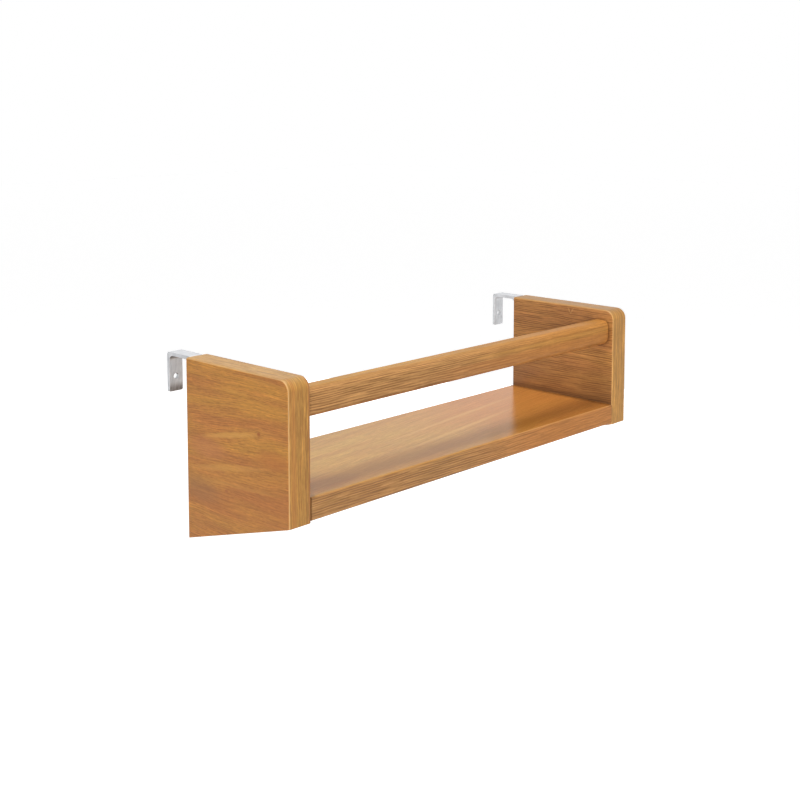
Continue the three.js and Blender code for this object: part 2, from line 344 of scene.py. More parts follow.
def cut_thread(shape: Shape, low: float, high: float, pitch: float, depth: float) -> None:
    """Cuts a screw thread into a turned shape by drawing its surface in along a helix.

    Args:
        shape: The turned shape, with its axis on Z.
        low: The height where the thread starts.
        high: The height where it ends.
        pitch: The rise of one turn.
        depth: How deep the thread's grooves are.
    """
    core = 1.5 * depth
    flank_slope = 1.6
    for point in shape.verts:
        radius = math.hypot(point.co.x, point.co.y)
        if not low < point.co.z < high or radius < core:
            continue
        turn = math.atan2(point.co.y, point.co.x) / (2 * math.pi)
        phase = (point.co.z / pitch - turn) % 1
        groove = min(1.0, flank_slope * (1 - abs(2 * phase - 1)))
        fade = min(1.0, (high - point.co.z) / pitch)
        share = 1 - depth * groove * fade / radius
        point.co.x *= share
        point.co.y *= share


def cut_flutes(shape: Shape, count: int, depth: float) -> None:
    """Cuts straight flutes into a turned shape by drawing its surface in.

    Args:
        shape: The turned shape, with its axis on Z.
        count: The number of flutes round it.
        depth: How deep they are.
    """
    core = 3 * depth
    for point in shape.verts:
        radius = math.hypot(point.co.x, point.co.y)
        if radius < core:
            continue
        phase = math.atan2(point.co.y, point.co.x) * count
        share = 1 - depth * max(0.0, -math.cos(phase)) / radius
        point.co.x *= share
        point.co.y *= share


def aim(shape: Shape, direction: Vector, place: Vector) -> Shape:
    """Turns and moves a shape that was made at the origin.

    Args:
        shape: The shape that is changed.
        direction: Where its Z is to point.
        place: Where its origin is to be.

    Returns:
        The same shape.
    """
    turn = direction.to_track_quat("Z", "Y").to_matrix().to_4x4()
    bmesh.ops.transform(shape, matrix=Matrix.Translation(place) @ turn, verts=shape.verts)
    return shape


def cut(shape: Shape, tool: Shape) -> Shape:
    """Cuts one closed shape out of another.

    Args:
        shape: The shape to cut. It is used up.
        tool: The shape to cut away. It is used up.

    Returns:
        What is left of the first shape.
    """
    objects = []
    for name, part in (("cut_body", shape), ("cut_tool", tool)):
        mesh = bpy.data.meshes.new(name)
        part.to_mesh(mesh)
        part.free()
        objects.append(bpy.data.objects.new(name, mesh))
        bpy.context.scene.collection.objects.link(objects[-1])
    body, cutter = objects
    difference = body.modifiers.new("difference", "BOOLEAN")
    difference.operation = "DIFFERENCE"
    difference.solver = "EXACT"
    difference.use_self = True
    difference.object = cutter
    left = bmesh.new()
    left.from_object(body, bpy.context.evaluated_depsgraph_get())
    for spent in objects:
        bpy.data.meshes.remove(spent.data)
    bmesh.ops.remove_doubles(left, verts=left.verts, dist=SAME_POINT)
    return left


def shade(mesh: bpy.types.Mesh) -> None:
    """Shades a mesh smoothly over its roundings, and keeps broad faces flat and corners sharp.

    Args:
        mesh: The mesh. Its corner normals are written.
    """
    smoothed_turn = math.radians(50)
    limit = math.cos(smoothed_turn)
    around = [[] for _ in mesh.vertices]
    for face in mesh.polygons:
        for index in face.vertices:
            around[index].append((face.normal.copy(), face.area))
    normals = []
    for face in mesh.polygons:
        for index in face.vertices:
            total = Vector()
            for normal, area in around[index]:
                if normal.dot(face.normal) > limit:
                    total += normal * area
            normals.append(total.normalized())
    mesh.polygons.foreach_set("use_smooth", [True] * len(mesh.polygons))
    mesh.normals_split_custom_set(normals)


class NodeSheet:
    """One material's nodes, with a short method for each kind of node that the finishes use."""

    def __init__(self, name: str) -> None:
        """Starts an empty sheet in a new material.

        Args:
            name: The material's name.
        """
        self.material = bpy.data.materials.new(name)
        self.material.use_nodes = True
        self.nodes = self.material.node_tree.nodes
        self.links = self.material.node_tree.links
        self.nodes.clear()

    def add(self, kind: str, *values: object, **settings: object) -> bpy.types.Node:
        """Adds a node.

        Args:
            kind: The node's type.
            *values: What goes into its first inputs, in order.
            **settings: Its options by name.

        Returns:
            The node.
        """
        node = self.nodes.new(kind)
        for key, value in settings.items():
            setattr(node, key, value)
        for socket, value in zip(node.inputs, values):
            self.feed(socket, value)
        return node

    def feed(self, socket: Socket, value: object) -> None:
        """Gives an input its value.

        Args:
            socket: The input.
            value: A number, vector or colour, or the output of another node that is linked to it.
        """
        if isinstance(value, Socket):
            self.links.new(value, socket)
        else:
            socket.default_value = value

    def math(self, operation: str, *values: object) -> Socket:
        """Works out one number from others."""
        return self.add("ShaderNodeMath", *values, operation=operation).outputs[0]

    def times(self, *values: object) -> Socket:
        """Multiplies numbers.

        Args:
            *values: Two numbers or more.

        Returns:
            Their product.
        """
        product, *others = values
        for value in others:
            product = self.math("MULTIPLY", product, value)
        return product

    def vector(self, operation: str, first: object, second: object) -> Socket:
        """Works out one vector from two others."""
        return self.add("ShaderNodeVectorMath", first, second, operation=operation).outputs[0]

    def split(self, vector: Socket) -> tuple[Socket, Socket, Socket]:
        """Splits a vector into its three numbers."""
        x, y, z = self.add("ShaderNodeSeparateXYZ", vector).outputs
        return x, y, z

    def join(self, x: object, y: object, z: object) -> Socket:
        """Joins three numbers into a vector."""
        return self.add("ShaderNodeCombineXYZ", x, y, z).outputs[0]

    def attribute(self, name: str) -> bpy.types.Node:
        """Reads one of the mesh's own attributes."""
        return self.add("ShaderNodeAttribute", attribute_name=name)

    def noise(self, place: Socket, length: float, width: float, detail: float = 2.0) -> Socket:
        """Makes soft noise from 0 to 1.

        Args:
            place: Where a point is.
            length: The length of the noise's blots along X.
            width: Their width across it.
            detail: How many finer layers the noise has.

        Returns:
            The noise.
        """
        node = self.add("ShaderNodeTexNoise", self.vector("DIVIDE", place, (length, width, width)))
        node.inputs["Scale"].default_value = 1.0
        node.inputs["Detail"].default_value = detail
        node.inputs["Roughness"].default_value = 0.5
        return node.outputs[0]

    def ripple(
        self, place: Socket, length: float, width: float, amount: object, detail: float = 2.0
    ) -> Socket:
        """Makes a factor near 1 that varies with soft noise.

        Args:
            place: Where a point is.
            length: The length of the noise's blots along X.
            width: Their width across it.
            amount: The factor's usual distance from 1.
            detail: How many finer layers the noise has.

        Returns:
            The factor.
        """
        usual_spread = 0.11
        middle = self.math("SUBTRACT", self.noise(place, length, width, detail), 0.5)
        return self.math("MULTIPLY_ADD", middle, self.math("DIVIDE", amount, usual_spread), 1.0)

    def step(self, value: Socket, low: float, high: float) -> Socket:
        """Goes smoothly from 0 to 1 as a value goes from low to high."""
        node = self.add("ShaderNodeMapRange", value, low, high, interpolation_type="SMOOTHSTEP")
        return node.outputs[0]

    def scale(self, value: Socket, low: float, high: float) -> Socket:
        """Spreads a value from 0 to 1 over another range."""
        return self.math("MULTIPLY_ADD", value, high - low, low)

    def blend(self, factor: object, first: object, second: object, mode: str = "MIX") -> Socket:
        """Blends two colours.

        Args:
            factor: The second colour's share, from 0 to 1.
            first: The first colour.
            second: The second colour.
            mode: How the second is laid over the first.

        Returns:
            The blended colour.
        """
        first_socket, second_socket, result = 6, 7, 2
        node = self.add("ShaderNodeMix", factor, data_type="RGBA", blend_type=mode)
        self.feed(node.inputs[first_socket], first)
        self.feed(node.inputs[second_socket], second)
        return node.outputs[result]

    def bump(self, height: Socket, depth: float) -> Socket:
        """Makes a relief.

        Args:
            height: The height from 0 to 1.
            depth: The relief's depth in metres.

        Returns:
            The normal for the surface shader.
        """
        node = self.add("ShaderNodeBump")
        self.feed(node.inputs["Height"], height)
        node.inputs["Strength"].default_value = 1.0
        node.inputs["Distance"].default_value = depth
        return node.outputs[0]

    def finish(self, **sockets: object) -> bpy.types.Material:
        """Ends the sheet in a surface shader with the given inputs.

        Args:
            **sockets: The shader's inputs by name, with _ for a space.

        Returns:
            The finished material.
        """
        shader = self.add("ShaderNodeBsdfPrincipled")
        for name, value in sockets.items():
            self.feed(shader.inputs[name.replace("_", " ")], value)
        output = self.add("ShaderNodeOutputMaterial")
        self.links.new(shader.outputs[0], output.inputs[0])
        return self.material


@dataclass(frozen=True)
class Mark:
    """A streak, a knot's core, or a patch of painted shade or painted light that stands out of the grain.
    Lengths are in millimetres.

    Along, across and depth give its middle, in the frame or in the grain as its finish says. Slope is how
    far it drifts across as it runs along, reach how far from its depth it still shows, and wobble how
    ragged its edges are.
    """

    along: float
    across: float
    depth: float
    length: float
    width: float
    colour: Colour
    strength: float
    slope: float = 0.0
    reach: float = 1.0
    wobble: float = 1.2


@dataclass(frozen=True)
class Strokes:
    """The fine dark lines of a wood's grain, which run side by side and break off. Lengths are in
    millimetres."""

    length: float = 10.0
    spacing: float = 1.8
    strength: float = 0.3
    cover: float = 0.7


def at_both_ends(mark: Mark) -> tuple[Mark, Mark]:
    """Repeats a mark at the other end of a piece that lies across the middle of the frame."""
    return mark, replace(mark, along=-mark.along)


# The tone of marks that stand for the shade in corners.
CORNER_SHADE = paint(74, 42, 20)

# The depths of the faces that marks lie on, in millimetres. A panel's rim has none of its own, so its
# depth is one that no face has.
RIM = 300.0
LEFT_OUTER_FACE = -250.0
RIGHT_INNER_FACE = 225.0
BOARD_TOP = -101.5

# The grain's fine variations: the length and width of their blots in millimetres, their strength, and
# how many finer layers they have. The edge bands have one of their own.
RIPPLES = (
    (240.0, 6.0, 0.03, 2.0),
    (75.0, 2.4, 0.045, 2.0),
    (26.0, 0.9, 0.07, 2.0),
    (5.0, 1.1, 0.05, 3.0),
)
BAND_RIPPLE = (30.0, 1.4, 0.13, 3.0)

# Where the grain's slant changes down a panel's face, in millimetres below its top.
UPPER_TURN = (0.0, -50.0)
LOWER_TURN = (-65.0, -120.0)

# How far a seed's unit moves the grain's waves, and its lines across it, so that no two woods are alike.
WAVES_PER_SEED = (137.0, 71.0, 53.0)
LINES_PER_SEED = 91.0


@dataclass(frozen=True)
class WoodFinish:
    """Stained and lacquered wood, whose grain runs along a piece. Lengths are in millimetres.

    Golden, russet and olive are the wood's own tones, and dark is that of its fine lines. Band is the
    tone of the rim or front, where band_strokes are the lines, top_band that of the rim's top, and far
    that of the piece's right end. The rounded arrises are lightened towards a pale colour as a painted
    highlight. Front_zone is where a front starts in Y, and fading where the right end starts in X, past
    which faded_share of the lines are left.
    """

    name: str
    slot: str
    source: GrainSource
    seed: float
    golden: Colour = paint(188, 129, 54)
    russet: Colour = paint(174, 110, 48)
    olive: Colour = paint(156, 113, 52)
    dark: Colour = paint(86, 50, 22)
    band: Colour = paint(180, 130, 60)
    top_band: Colour | None = None
    # Painted highlight: the pale colour that the rounded arrises are lightened towards.
    arris_highlight: Colour = paint(232, 184, 120)
    far: Colour | None = None
    strokes: Strokes = Strokes()
    band_strokes: Strokes = Strokes(length=16.0, spacing=2.3, strength=0.42, cover=0.7)
    front_zone: tuple[float, float] | None = None
    fading: tuple[float, float] | None = None
    faded_share: float = 0.2
    contrast: float = 1.0
    waviness: float = 4.0
    slants: tuple[float, float, float] = (0.0, 0.0, 0.0)
    knot: tuple[float, float] | None = None
    marks: tuple[Mark, ...] = ()
    roughness: float = 0.42
    specular: float = 0.4

    @cache
    def material(self) -> bpy.types.Material:
        """Makes the material, once for all the pieces that have it.

        Returns:
            The material.
        """
        line_depth, line_roughness, relief_depth = 0.8, 0.15, 0.04 * MM
        sheet = NodeSheet(self.name)
        in_frame = sheet.add("ShaderNodeTexCoord").outputs["Object"]
        in_frame = sheet.vector("MULTIPLY", in_frame, (1 / MM, 1 / MM, 1 / MM))
        in_grain = sheet.attribute("grain").outputs["Vector"]
        place = in_frame if self.source is GrainSource.SOLID else in_grain
        x, y, _ = sheet.split(in_frame)
        if self.front_zone:
            band = sheet.step(y, *self.front_zone)
        else:
            band = sheet.attribute("edge_band").outputs["Fac"]
        farness = sheet.step(x, *self.fading) if self.fading else 0.0
        bent = self._run_of_the_grain(sheet, place, band)
        dashes = self._dashes(sheet, bent, band, farness)
        colour = self._colour(sheet, bent, band, dashes, farness)
        marks_place = in_grain if self.source is GrainSource.ROUND_THE_PANEL else in_frame
        for mark in self.marks:
            colour = self._mark(sheet, marks_place, mark, colour)
        fibres = sheet.noise(bent, length=13.0, width=0.6)
        relief = sheet.math("SUBTRACT", fibres, sheet.times(dashes, line_depth))
        return sheet.finish(
            Base_Color=colour,
            Roughness=sheet.math("MULTIPLY_ADD", dashes, line_roughness, self.roughness),
            Specular_IOR_Level=self.specular,
            Normal=sheet.bump(relief, relief_depth),
        )

    def _run_of_the_grain(self, sheet: NodeSheet, place: Socket, band: Socket) -> Socket:
        """Bends the grain: a slant that changes down the face, slow waves, and a way round the knot.

        Args:
            sheet: The sheet that it is laid out on.
            place: Where a point is.
            band: How far a point is on the edge band, which the slant leaves alone.

        Returns:
            Where the point is in the bent grain.
        """
        along, across, depth = sheet.split(place)
        top, middle, bottom = self.slants
        slant = sheet.scale(sheet.step(across, *UPPER_TURN), top, middle)
        lower = sheet.times(sheet.step(across, *LOWER_TURN), bottom - middle)
        slant = sheet.times(sheet.math("ADD", slant, lower), sheet.math("SUBTRACT", 1.0, band))
        across = sheet.math("MULTIPLY_ADD", along, slant, across)
        if self.knot:
            knot_along, knot_across = self.knot
            knot_spread = 4.0
            off_along = sheet.math("SUBTRACT", along, knot_along)
            off_across = sheet.math("SUBTRACT", across, knot_across + knot_along * middle)
            squared = sheet.times(off_along, off_along)
            squared = sheet.math("MULTIPLY_ADD", off_across, off_across, squared)
            share = sheet.math("DIVIDE", squared, sheet.math("ADD", squared, knot_spread**2))
            across = sheet.math("MULTIPLY_ADD", off_across, share, knot_across)
        shifted = sheet.vector("ADD", place, tuple(self.seed * step for step in WAVES_PER_SEED))
        for length, width, height in ((120.0, 40.0, self.waviness), (30.0, 12.0, self.waviness / 5)):
            drift = sheet.noise(shifted, length, width)
            across = sheet.math("ADD", across, sheet.scale(drift, -height, height))
        return sheet.join(along, sheet.math("ADD", across, self.seed * LINES_PER_SEED), depth)

    def _dashes(self, sheet: NodeSheet, bent: Socket, band: Socket, farness: object) -> Socket:
        """Lays out the dark lines: their own on the edge band, and fewer far along the piece.

        Args:
            sheet: The sheet that they are laid out on.
            bent: Where a point is in the bent grain.
            band: How far a point is on the edge band.
            farness: How far a point is towards the right end.

        Returns:
            The lines' strength from 0 to 1.
        """
        off_band = sheet.math("SUBTRACT", 1.0, band)
        on_face = sheet.times(self._stroke_noise(sheet, bent, self.strokes), off_band)
        on_band = sheet.times(self._stroke_noise(sheet, bent, self.band_strokes), band)
        return sheet.times(sheet.math("ADD", on_face, on_band), sheet.scale(farness, 1.0, self.faded_share))

    def _stroke_noise(self, sheet: NodeSheet, bent: Socket, strokes: Strokes) -> Socket:
        """Makes one kind of line: evenly spaced waves across the grain, bent a little and broken up.

        Args:
            sheet: The sheet that it is laid out on.
            bent: Where a point is in the bent grain.
            strokes: The kind of line.

        Returns:
            The lines' strength from 0 to 1.
        """
        bend = 0.7
        line_rim, line_core = 0.12, 0.42
        uncovered, covering, break_softness = 0.54, 0.2, 0.2
        _, across, _ = sheet.split(bent)
        bends = sheet.noise(bent, length=5 * strokes.length, width=4 * strokes.spacing)
        waves = sheet.math("MULTIPLY_ADD", across, 1 / strokes.spacing, sheet.scale(bends, -bend, bend))
        lines = sheet.step(sheet.math("PINGPONG", waves, 0.5), line_rim, line_core)
        low = uncovered - covering * strokes.cover
        pieces = sheet.noise(bent, length=strokes.length, width=1.2 * strokes.spacing, detail=1.0)
        return sheet.times(lines, sheet.step(pieces, low, low + break_softness), strokes.strength)

    def _colour(
        self, sheet: NodeSheet, bent: Socket, band: Socket, dashes: Socket, farness: object
    ) -> Socket:
        """Makes the colour.

        Args:
            sheet: The sheet that it is made on.
            bent: Where a point is in the bent grain.
            band: How far a point is on the edge band.
            dashes: The strength of the dark lines.
            farness: How far a point is towards the right end.

        Returns:
            The colour.
        """
        olive_share, band_share, far_share, arris_highlight_share = 0.4, 0.85, 0.8, 0.6
        corner_length, arris_sharpness = 17.0, 6.0
        clouds = sheet.step(sheet.noise(bent, length=110.0, width=18.0, detail=3.0), 0.34, 0.66)
        patches = sheet.step(sheet.noise(bent, length=120.0, width=30.0), 0.52, 0.72)
        colour = sheet.blend(clouds, self.russet, self.golden)
        colour = sheet.blend(sheet.times(patches, olive_share), colour, self.olive)
        band_colour = self.band
        if self.top_band:
            along, _, _ = sheet.split(bent)
            band_colour = sheet.blend(sheet.step(along, 0.0, corner_length), self.top_band, self.band)
        colour = sheet.blend(sheet.times(band, band_share), colour, band_colour)
        if self.far:
            colour = sheet.blend(sheet.times(farness, far_share), colour, self.far)
        length, width, amount, detail = BAND_RIPPLE
        tone = sheet.ripple(bent, length, width, sheet.times(band, amount), detail)
        for length, width, amount, detail in RIPPLES:
            tone = sheet.times(tone, sheet.ripple(bent, length, width, amount * self.contrast, detail))
        colour = sheet.blend(1.0, colour, sheet.join(tone, tone, tone), "MULTIPLY")
        colour = sheet.blend(dashes, colour, self.dark)
        # Painted highlight: the roundings of the arrises are lightened towards a pale colour.
        arris = sheet.math("POWER", sheet.attribute("arris").outputs["Fac"], arris_sharpness)
        return sheet.blend(sheet.times(arris, arris_highlight_share), colour, self.arris_highlight)

    def _mark(self, sheet: NodeSheet, place: Socket, mark: Mark, colour: Socket) -> Socket:
        """Lays one mark over the colour.

        Args:
            sheet: The sheet that it is laid out on.
            place: Where a point is.
            mark: The mark.
            colour: The colour under it.

        Returns:
            The colour with the mark.
        """
        wobble_size, reach_softness = 9.0, 1.0
        along, across, depth = sheet.split(place)
        off_along = sheet.math("SUBTRACT", along, mark.along)
        off_across = sheet.math("SUBTRACT", across, mark.across)
        off_across = sheet.math("MULTIPLY_ADD", off_along, -mark.slope, off_across)
        wobble = sheet.scale(sheet.noise(place, wobble_size, wobble_size), -mark.wobble, mark.wobble)
        off_across = sheet.math("ADD", off_across, wobble)
        lengthwise = sheet.math("DIVIDE", off_along, mark.length / 2)
        widthwise = sheet.math("DIVIDE", off_across, mark.width / 2)
        squared = sheet.math("MULTIPLY_ADD", lengthwise, lengthwise, sheet.times(widthwise, widthwise))
        off_depth = sheet.math("ABSOLUTE", sheet.math("SUBTRACT", depth, mark.depth))
        on_face = sheet.step(off_depth, mark.reach + reach_softness, mark.reach)
        amount = sheet.times(sheet.step(squared, 1.0, 0.0), on_face, mark.strength)
        return sheet.blend(amount, colour, mark.colour)


@dataclass(frozen=True)
class SteelFinish:
    """Zinc-plated or die-cast metal, brushed or with a faint crystal pattern. Lengths are in metres.

    Two shares say how far a strap's forward face within foot_zone, and what faces down, are darkened
    towards a grey-brown: painted shade.
    """

    name: str
    slot: str
    colour: Colour
    dull: Colour
    roughness: float = 0.3
    metallic: float = 1.0
    crystal: float = 2.5 * MM
    brushing: float = 16 * MM
    # Painted shade: the grey-brown that a strap's foot and the undersides of its bends are darkened towards,
    # and how far.
    painted_shade_colour: Colour = paint(100, 88, 80)
    painted_foot_shade: float = 0.0
    painted_bend_shade: float = 0.0
    foot_zone: tuple[float, float] = (-25 * MM, -33 * MM)

    @cache
    def material(self) -> bpy.types.Material:
        """Makes the material, once for all the pieces that have it.

        Returns:
            The material.
        """
        streak_width, relief_depth = 0.35 * MM, 0.006 * MM
        faint, full = 0.3, 0.7
        rougher, smoother = self.roughness + 0.08, self.roughness - 0.06
        sheet = NodeSheet(self.name)
        place = sheet.add("ShaderNodeTexCoord").outputs["Object"]
        crystals = sheet.noise(place, length=self.crystal, width=3 * self.crystal, detail=3.0)
        brushed = sheet.noise(place, length=streak_width, width=self.brushing)
        blotches, streaks = (sheet.step(noise, faint, full) for noise in (crystals, brushed))
        tone = sheet.math("ADD", sheet.times(blotches, 0.5), sheet.times(streaks, 0.5))
        colour = sheet.blend(tone, self.dull, self.colour)
        # Painted shade: the forward face low on the foot and the faces that look down are darkened.
        _, facing_y, facing_z = sheet.split(sheet.attribute("facing").outputs["Vector"])
        lowness = sheet.step(sheet.split(place)[2], *self.foot_zone)
        looks_forward = sheet.step(facing_y, -0.5, -0.9)
        looks_down = sheet.step(facing_z, -0.1, -0.6)
        patchiness = sheet.scale(tone, 1.0, 0.6)
        foot_shade = sheet.times(lowness, looks_forward, patchiness, self.painted_foot_shade)
        bends = sheet.times(looks_down, self.painted_bend_shade)
        colour = sheet.blend(sheet.math("MAXIMUM", foot_shade, bends), colour, self.painted_shade_colour)
        return sheet.finish(
            Base_Color=colour,
            Metallic=self.metallic,
            Roughness=sheet.scale(tone, rougher, smoother),
            Normal=sheet.bump(streaks, relief_depth),
        )


def make_piece(node: str, shape: Shape, finish: WoodFinish | SteelFinish) -> bpy.types.Object:
    """Makes a finished shape the piece that stands for a node of the frame.

    Args:
        node: The node's name.
        shape: The closed shape, in its place. It is used up.
        finish: What the piece is made of.

    Returns:
        The piece.
    """
    bmesh.ops.recalc_face_normals(shape, faces=shape.faces)
    mesh = bpy.data.meshes.new(f"{node}_surface")
    shape.to_mesh(mesh)
    shape.free()
    shade(mesh)
    mesh.materials.append(finish.material())
    piece = bpy.data.objects.new(mesh.name, mesh)
    bpy.context.scene.collection.objects.link(piece)
    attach(piece, "root")
    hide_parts(node)
    log.info("%s: %d faces, %s", piece.name, len(mesh.polygons), finish.name)
    return piece


def lay_grain_round_section(mesh: bpy.types.Mesh) -> None:
    """Runs the grain along X, and measures the way across it over the top and down the front and back.

    Args:
        mesh: The mesh of a piece that runs along X. Its grain attribute is written.
    """
    top = max(vertex.co.z for vertex in mesh.vertices)
    grain = []
    for face in mesh.polygons:
        way_down = 1.0 if face.normal.y > 0.1 else -1.0
        for index in face.vertices:
            point = mesh.vertices[index].co
            grain += (point.x / MM, (point.y + way_down * (top - point.z)) / MM, 0.0)
    mesh.attributes.new("grain", "FLOAT_VECTOR", "CORNER").data.foreach_set("vector", grain)


def note_arrises(mesh: bpy.types.Mesh, *directions: Vector) -> None:
    """Writes into a mesh how far each point is on a rounding beside the faces that look some way.

    Args:
        mesh: The mesh. Its arris attribute is written.
        *directions: The ways that those faces look.
    """
    arris = []
    for corner in mesh.corner_normals:
        facing = max(corner.vector.dot(direction) for direction in directions)
        facing = max(0.0, min(1.0, facing))
        # This is 1 halfway round a rounding, and 0 on the flat faces at both its sides.
        arris.append(2 * facing * math.sqrt(1 - facing**2))
    mesh.attributes.new("arris", "FLOAT", "CORNER").data.foreach_set("value", arris)


def note_facing(mesh: bpy.types.Mesh) -> None:
    """Writes into a mesh which way each point faces."""
    facing = [value for corner in mesh.corner_normals for value in corner.vector]
    mesh.attributes.new("facing", "FLOAT_VECTOR", "CORNER").data.foreach_set("vector", facing)


@dataclass
class SidePanel:
    """A side panel: eased along its top and front, square at its back, with a slanting lower edge."""

    side: Side
    finish: WoodFinish
    front_height: float = 127.5 * MM
    corner_radius: float = 11 * MM
    edge_round: float = 2 * MM
    square_edge_round: float = 0.3 * MM
    bolt_diameter: float = 6 * MM
    board_dowel_diameter: float = 8 * MM
    rail_dowel_diameter: float = 6 * MM
    hook_screw_diameter: float = 4 * MM

    def build(self) -> None:
        """Makes the panel, its blind holes and the run of its grain."""
        node = f"{self.side.word}_side_panel"
        low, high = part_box(node)
        outline = [(low.y, high.z - self.front_height), (low.y, high.z), (high.y, high.z), (high.y, low.z)]
        shape = extruded(outline, low.x, high.x)
        corner = edges_where(shape, lambda a, b: all(near(p.y, low.y) and near(p.z, high.z) for p in (a, b)))
        round_edges(shape, corner, self.corner_radius, segments=18)
        round_edges(shape, self._top_and_front_edges(shape, low, high), self.edge_round, segments=6)
        round_edges(shape, sharp_edges(shape), self.square_edge_round, segments=2)
        shape = cut(shape, self._holes())
        piece = make_piece(node, shape, self.finish)
        note_arrises(piece.data, Axis.X.vector, -Axis.X.vector)
        self._lay_grain(piece.data, low, high)

    def _top_and_front_edges(self, shape: Shape, low: Vector, high: Vector) -> list[Edge]:
        """Lists the edges of both faces that run along the top, round the corner and down the front.

        Args:
            shape: The panel with its corner rounded.
            low: The panel's lowest corner. It is not used.
            high: Its highest corner.

        Returns:
            The edges.
        """
        front_bottom = high.z - self.front_height

        def runs_along(a: Vector, b: Vector) -> bool:
            """Says whether an edge is one of them.

            Args:
                a: Its first end.
                b: Its other end.

            Returns:
                Whether it is.
            """
            on_one_face = near(a.x, b.x)
            on_back = near(a.y, high.y) and near(b.y, high.y)
            on_bottom = min(a.z, b.z) < front_bottom - SAME_PLACE
            return on_one_face and not on_back and not on_bottom

        return edges_where(shape, runs_along)

    def _holes(self) -> Shape:
        """Makes what is cut away for the bolts, the dowels and the hook's screws.

        Returns:
            The rods to cut away.
        """
        word = self.side.word
        tool = bmesh.new()
        add_bore(tool, f"{word}_front_cam_bolt", Axis.X, self.bolt_diameter)
        add_bore(tool, f"{word}_back_cam_bolt", Axis.X, self.bolt_diameter)
        add_bore(tool, f"{word}_board_dowel", Axis.X, self.board_dowel_diameter)
        for row in ("upper", "lower"):
            add_bore(tool, f"{word}_rail_{row}_dowel", Axis.X, self.rail_dowel_diameter)
            add_bore(tool, f"{word}_hook_{row}_screw", Axis.Y, self.hook_screw_diameter)
        return tool

    def _lay_grain(self, mesh: bpy.types.Mesh, low: Vector, high: Vector) -> None:
        """Runs the grain front to back on the faces, and along the edge on the top, corner and front.

        Args:
            mesh: The panel's mesh.
            low: The panel's lowest corner.
            high: Its highest corner.
        """
        grain, band = [], []
        centre = Vector((0, low.y + self.corner_radius, high.z - self.corner_radius))
        face_tilt = 0.8
        for face in mesh.polygons:
            on_edge = abs(face.normal.x) < face_tilt
            for vertex in face.vertices:
                point = mesh.vertices[vertex].co
                if on_edge:
                    grain += (self._way_round(point, centre) / MM, point.x / MM, RIM)
                else:
                    grain += ((high.y - point.y) / MM, (point.z - high.z) / MM, point.x / MM)
                band.append(1.0 if on_edge else 0.0)
        mesh.attributes.new("grain", "FLOAT_VECTOR", "CORNER").data.foreach_set("vector", grain)
        mesh.attributes.new("edge_band", "FLOAT", "CORNER").data.foreach_set("value", band)

    def _way_round(self, point: Vector, centre: Vector) -> float:
        """Measures how far round the rim a point is.

        Args:
            point: The point.
            centre: The middle of the rounded corner.

        Returns:
            The way from where the corner starts, which is negative along the top.
        """
        if point.y > centre.y:
            return centre.y - point.y
        if point.z < centre.z:
            return self.corner_radius * math.pi / 2 + centre.z - point.z
        return self.corner_radius * math.atan2(centre.y - point.y, point.z - centre.z)


@dataclass
class ShelfBoard:
    """The board between the panels, eased along its front, with its dowel, bolt and cam holes."""

    finish: WoodFinish
    edge_round: float = 1.5 * MM
    square_edge_round: float = 0.3 * MM
    pocket_rim_round: float = 0.25 * MM
    bolt_diameter: float = 6 * MM
    dowel_diameter: float = 8 * MM
    cam_diameter: float = 15 * MM

    def build(self) -> None:
        """Makes the board."""
        node = "shelf_board"
        low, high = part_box(node)
        shape = block(low, high)
        front = edges_where(shape, lambda a, b: near(a.y, low.y) and near(b.y, low.y) and near(a.z, b.z))
        round_edges(shape, front, self.edge_round, segments=6)
        round_edges(shape, sharp_edges(shape), self.square_edge_round, segments=2)
        shape = cut(shape, self._holes())
        on_underside = edges_where(shape, lambda a, b: near(a.z, low.z) and near(b.z, low.z))
        rims = set(sharp_edges(shape)).intersection(on_underside)
        round_edges(shape, rims, self.pocket_rim_round, segments=2)
        piece = make_piece(node, shape, self.finish)
        note_arrises(piece.data, Axis.Z.vector)
        lay_grain_round_section(piece.data)

    def _holes(self) -> Shape:
        """Makes what is cut away for the dowels, the bolts and the cams.

        Returns:
            The rods to cut away.
        """
        tool = bmesh.new()
        for side in Side:
            add_bore(tool, f"{side.word}_board_dowel", Axis.X, self.dowel_diameter)
            for row in ("front", "back"):
                add_bore(tool, f"{side.word}_{row}_cam_bolt", Axis.X, self.bolt_diameter)
                add_bore(tool, f"{side.word}_{row}_cam", Axis.Z, self.cam_diameter)
        return tool


@dataclass
class FrontRail:
    """The rail across the front, with its upper edges rounded and its lower edges rounded further."""

    finish: WoodFinish
    top_round: float = 6.5 * MM
    bottom_round: float = 9 * MM
    square_edge_round: float = 0.3 * MM
    dowel_diameter: float = 6 * MM

    def build(self) -> None:
        """Makes the rail, with two dowel holes in each end."""
        node = "front_rail"
        low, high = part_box(node)
        shape = block(low, high)
        for height, radius in ((high.z, self.top_round), (low.z, self.bottom_round)):
            long_edges = edges_where(
                shape, lambda a, b: near(a.z, height) and near(b.z, height) and not near(a.x, b.x)
            )
            round_edges(shape, long_edges, radius, segments=14)
        round_edges(shape, sharp_edges(shape), self.square_edge_round, segments=2)
        tool = bmesh.new()
        for side in Side:
            for row in ("upper", "lower"):
                add_bore(tool, f"{side.word}_rail_{row}_dowel", Axis.X, self.dowel_diameter)
        piece = make_piece(node, cut(shape, tool), self.finish)
        lay_grain_round_section(piece.data)


